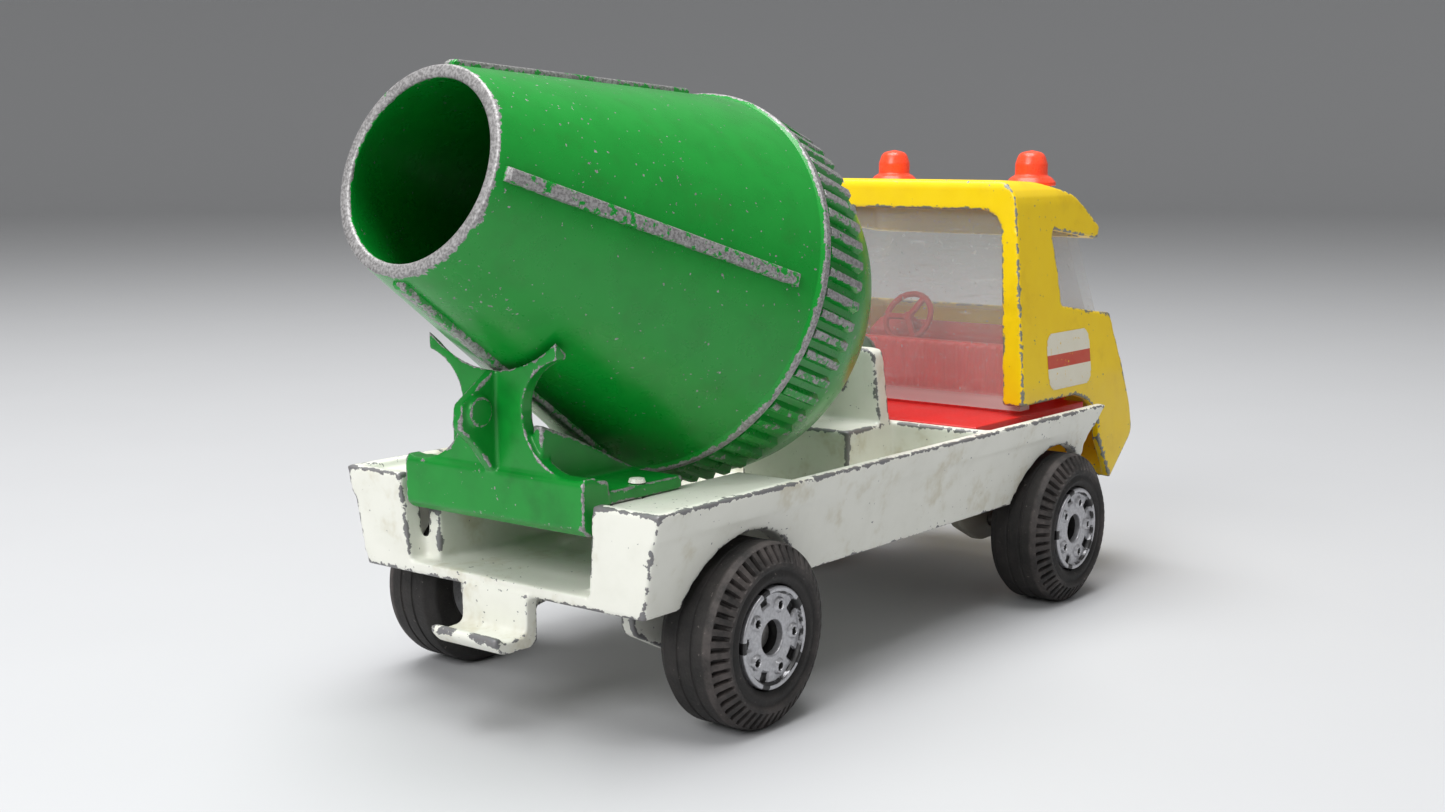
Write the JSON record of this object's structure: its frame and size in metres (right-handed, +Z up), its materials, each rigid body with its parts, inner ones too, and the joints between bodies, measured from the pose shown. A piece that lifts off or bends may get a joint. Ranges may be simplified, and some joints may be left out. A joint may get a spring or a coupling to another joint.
{
  "type": "toy cement mixer",
  "caption": "Die-cast toy cement mixer lorry: tilted rotating drum on a cast stand, open bed chassis, cab with clear windows and beacons, free-rolling wheels.",
  "frame": {"origin": "on the ground under the middle of the overall length and width", "axes": "+X forwards, towards the cab; +Y to the vehicle's left; +Z up"},
  "size_m": [0.1257, 0.0502, 0.0693],
  "materials": {
    "white_paint": "worn gloss white enamel on zinc casting",
    "green_paint": "worn gloss green enamel on zinc casting",
    "yellow_paint": "worn gloss yellow enamel on zinc casting",
    "red_plastic": "moulded red plastic",
    "beacon_plastic": "translucent orange-red plastic",
    "clear_plastic": "clear moulded plastic",
    "tyre_rubber": "dusty black",
    "silver_plastic": "silver-finished plastic",
    "bare_steel": "plain wire",
    "grey_plate": "plain beige-grey"
  },
  "bodies": {
    "chassis": {"chassis": "white_paint", "front_axle_carrier": "grey_plate", "carrier_rivet": "bare_steel", "cab_rivet": "bare_steel", "mixer_stand": "green_paint", "stand_rivet_left": "white_paint", "stand_rivet_right": "white_paint", "cab_shell": "yellow_paint", "cab_window": "clear_plastic", "cab_interior": "red_plastic", "steering_wheel": "red_plastic", "beacon_left": "beacon_plastic", "beacon_right": "beacon_plastic", "rear_axle": "bare_steel", "front_axle": "bare_steel"},
    "drum": {"drum_cone": "green_paint", "drum_base": "green_paint", "drum_spindle": "bare_steel", "spindle_washer": "bare_steel"},
    "wheel_rear_left": {"tyre_rear_left": "tyre_rubber", "hub_rear_left": "silver_plastic"},
    "wheel_rear_right": {"tyre_rear_right": "tyre_rubber", "hub_rear_right": "silver_plastic"},
    "wheel_front_left": {"tyre_front_left": "tyre_rubber", "hub_front_left": "silver_plastic"},
    "wheel_front_right": {"tyre_front_right": "tyre_rubber", "hub_front_right": "silver_plastic"}
  },
  "joints": [
    {"name": "drum_spin", "type": "hinge", "parent": "chassis", "child": "drum", "pos_m": [-0.05945, 0, 0.05855], "axis": [0.9445, 0, -0.3285], "continuous": true},
    {"name": "wheel_rear_left_spin", "type": "hinge", "parent": "chassis", "child": "wheel_rear_left", "pos_m": [-0.0338, 0.0209, 0.01], "axis": [0, 1, 0], "continuous": true},
    {"name": "wheel_rear_right_spin", "type": "hinge", "parent": "chassis", "child": "wheel_rear_right", "pos_m": [-0.0338, -0.0209, 0.01], "axis": [0, 1, 0], "continuous": true},
    {"name": "wheel_front_left_spin", "type": "hinge", "parent": "chassis", "child": "wheel_front_left", "pos_m": [0.0342, 0.0209, 0.01], "axis": [0, 1, 0], "continuous": true},
    {"name": "wheel_front_right_spin", "type": "hinge", "parent": "chassis", "child": "wheel_front_right", "pos_m": [0.0342, -0.0209, 0.01], "axis": [0, 1, 0], "continuous": true}
  ]
}
